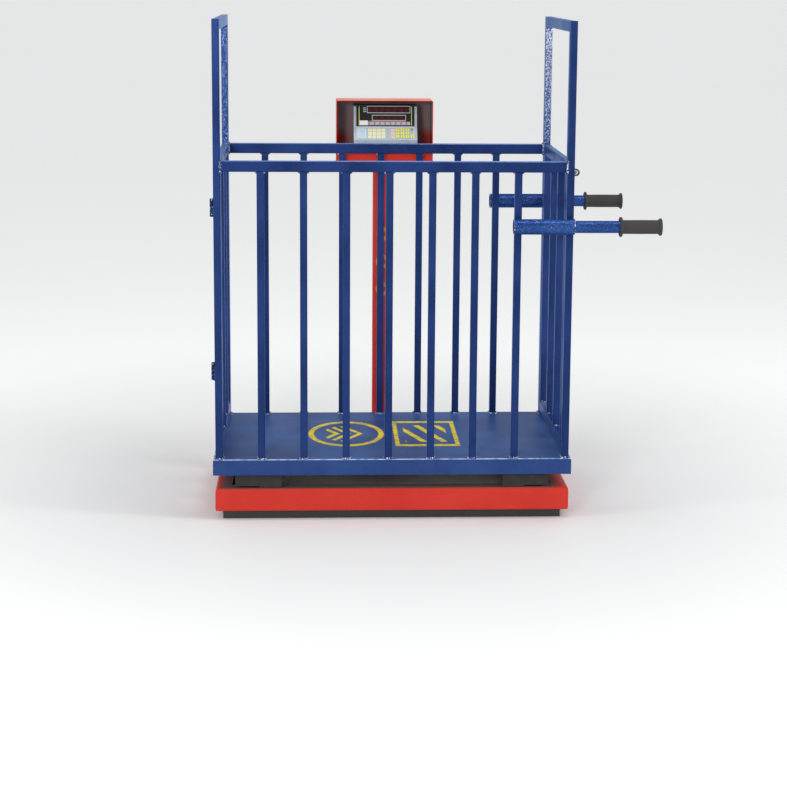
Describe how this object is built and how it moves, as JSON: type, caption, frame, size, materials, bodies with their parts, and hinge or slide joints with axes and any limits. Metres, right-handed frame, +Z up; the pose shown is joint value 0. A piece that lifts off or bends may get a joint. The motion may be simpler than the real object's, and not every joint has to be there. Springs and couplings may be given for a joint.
{
  "type": "livestock weighing crate",
  "caption": "Barred cage with hinged end gates on a weighing deck over a load-cell base, with telescopic carrying handles and a hooded indicator on a rear column.",
  "frame": {"origin": "middle of the part's box in plan, at floor level under the skids", "axes": "+Z up, +X towards the handles, +Y towards the indicator column, so that the picture looks along +Y"},
  "size_m": [1.2396, 0.7597, 1.385],
  "materials": {
    "blue_enamel": "glossy blue hammered enamel",
    "red_enamel": "glossy red enamel",
    "zinc_steel": "zinc-plated steel",
    "black_rubber": "matt black rubber",
    "cell_black": "dark coated alloy steel",
    "grey_plastic": "grey moulded plastic",
    "case_plastic": "blue-grey moulded plastic",
    "board_green": "green circuit board",
    "display_black": "glossy black panel",
    "window_red": "dark red tinted window",
    "keypad_film": "printed keypad film",
    "key_yellow": "yellow key caps"
  },
  "bodies": {
    "crate": {"base_front_rail": "red_enamel", "base_rear_rail": "red_enamel", "base_left_rail": "red_enamel", "base_right_rail": "red_enamel", "long_skids": "black_rubber", "short_skids": "black_rubber", "load_cells": "cell_black", "load_buttons": "zinc_steel", "frame_bolts": "zinc_steel", "junction_box": "grey_plastic", "junction_lid": "grey_plastic", "column_bracket": "red_enamel", "deck_pan": "blue_enamel", "deck_ribs": "blue_enamel", "front_left_post": "blue_enamel", "front_right_post": "blue_enamel", "rear_left_post": "blue_enamel", "rear_right_post": "blue_enamel", "left_header": "blue_enamel", "right_header": "blue_enamel", "front_top_rail": "blue_enamel", "rear_top_rail": "blue_enamel", "front_bars": "blue_enamel", "rear_bars": "blue_enamel", "hinge_pins": "blue_enamel", "latch_keepers": "zinc_steel", "handle_sleeves": "blue_enamel", "indicator_column": "red_enamel", "indicator_hood": "red_enamel", "indicator_case": "case_plastic", "indicator_back": "case_plastic", "circuit_board": "board_green", "display_panel": "display_black", "display_windows": "window_red", "keypad_film": "keypad_film"},
    "left_gate": {"left_gate_uprights": "blue_enamel", "left_gate_rails": "blue_enamel", "left_gate_knuckles": "blue_enamel", "left_latch_straps": "zinc_steel"},
    "left_bolt": {"left_latch_bolt": "zinc_steel"},
    "right_gate": {"right_gate_uprights": "blue_enamel", "right_gate_rails": "blue_enamel", "right_gate_knuckles": "blue_enamel", "right_latch_straps": "zinc_steel"},
    "right_bolt": {"right_latch_bolt": "zinc_steel"},
    "front_handle": {"front_handle_tube": "blue_enamel", "front_handle_grip": "black_rubber"},
    "rear_handle": {"rear_handle_tube": "blue_enamel", "rear_handle_grip": "black_rubber"},
    "digit_key_0": {"key_0": "key_yellow"},
    "digit_key_1": {"key_1": "key_yellow"},
    "digit_key_2": {"key_2": "key_yellow"},
    "digit_key_3": {"key_3": "key_yellow"},
    "digit_key_4": {"key_4": "key_yellow"},
    "digit_key_5": {"key_5": "key_yellow"},
    "digit_key_6": {"key_6": "key_yellow"},
    "digit_key_7": {"key_7": "key_yellow"},
    "digit_key_8": {"key_8": "key_yellow"},
    "digit_key_9": {"key_9": "key_yellow"}
  },
  "joints": [
    {"name": "left_gate_hinge", "type": "hinge", "parent": "crate", "child": "left_gate", "pos_m": [-0.6097, -0.29565, 0.646], "axis": [0, 0, 1], "range_deg": [0, 170]},
    {"name": "left_bolt_slide", "type": "slide", "parent": "left_gate", "child": "left_bolt", "axis": [0, 1, 0], "range_m": [0, 0.03]},
    {"name": "right_gate_hinge", "type": "hinge", "parent": "crate", "child": "right_gate", "pos_m": [0.3853, 0.21935, 0.646], "axis": [0, 0, 1], "range_deg": [0, 90]},
    {"name": "right_bolt_slide", "type": "slide", "parent": "right_gate", "child": "right_bolt", "axis": [0, -1, 0], "range_m": [0, 0.03]},
    {"name": "front_handle_slide", "type": "slide", "parent": "crate", "child": "front_handle", "axis": [1, 0, 0], "range_m": [-0.12, 0]},
    {"name": "rear_handle_slide", "type": "slide", "parent": "crate", "child": "rear_handle", "axis": [1, 0, 0], "range_m": [-0.109, 0]},
    {"name": "digit_key_0_press", "type": "slide", "parent": "crate", "child": "digit_key_0", "axis": [0, 0.8182, -0.5749], "range_m": [0, 0.0012], "stiffness_N_per_m": 300},
    {"name": "digit_key_1_press", "type": "slide", "parent": "crate", "child": "digit_key_1", "axis": [0, 0.8182, -0.5749], "range_m": [0, 0.0012], "stiffness_N_per_m": 300},
    {"name": "digit_key_2_press", "type": "slide", "parent": "crate", "child": "digit_key_2", "axis": [0, 0.8182, -0.5749], "range_m": [0, 0.0012], "stiffness_N_per_m": 300},
    {"name": "digit_key_3_press", "type": "slide", "parent": "crate", "child": "digit_key_3", "axis": [0, 0.8182, -0.5749], "range_m": [0, 0.0012], "stiffness_N_per_m": 300},
    {"name": "digit_key_4_press", "type": "slide", "parent": "crate", "child": "digit_key_4", "axis": [0, 0.8182, -0.5749], "range_m": [0, 0.0012], "stiffness_N_per_m": 300},
    {"name": "digit_key_5_press", "type": "slide", "parent": "crate", "child": "digit_key_5", "axis": [0, 0.8182, -0.5749], "range_m": [0, 0.0012], "stiffness_N_per_m": 300},
    {"name": "digit_key_6_press", "type": "slide", "parent": "crate", "child": "digit_key_6", "axis": [0, 0.8182, -0.5749], "range_m": [0, 0.0012], "stiffness_N_per_m": 300},
    {"name": "digit_key_7_press", "type": "slide", "parent": "crate", "child": "digit_key_7", "axis": [0, 0.8182, -0.5749], "range_m": [0, 0.0012], "stiffness_N_per_m": 300},
    {"name": "digit_key_8_press", "type": "slide", "parent": "crate", "child": "digit_key_8", "axis": [0, 0.8182, -0.5749], "range_m": [0, 0.0012], "stiffness_N_per_m": 300},
    {"name": "digit_key_9_press", "type": "slide", "parent": "crate", "child": "digit_key_9", "axis": [0, 0.8182, -0.5749], "range_m": [0, 0.0012], "stiffness_N_per_m": 300}
  ]
}
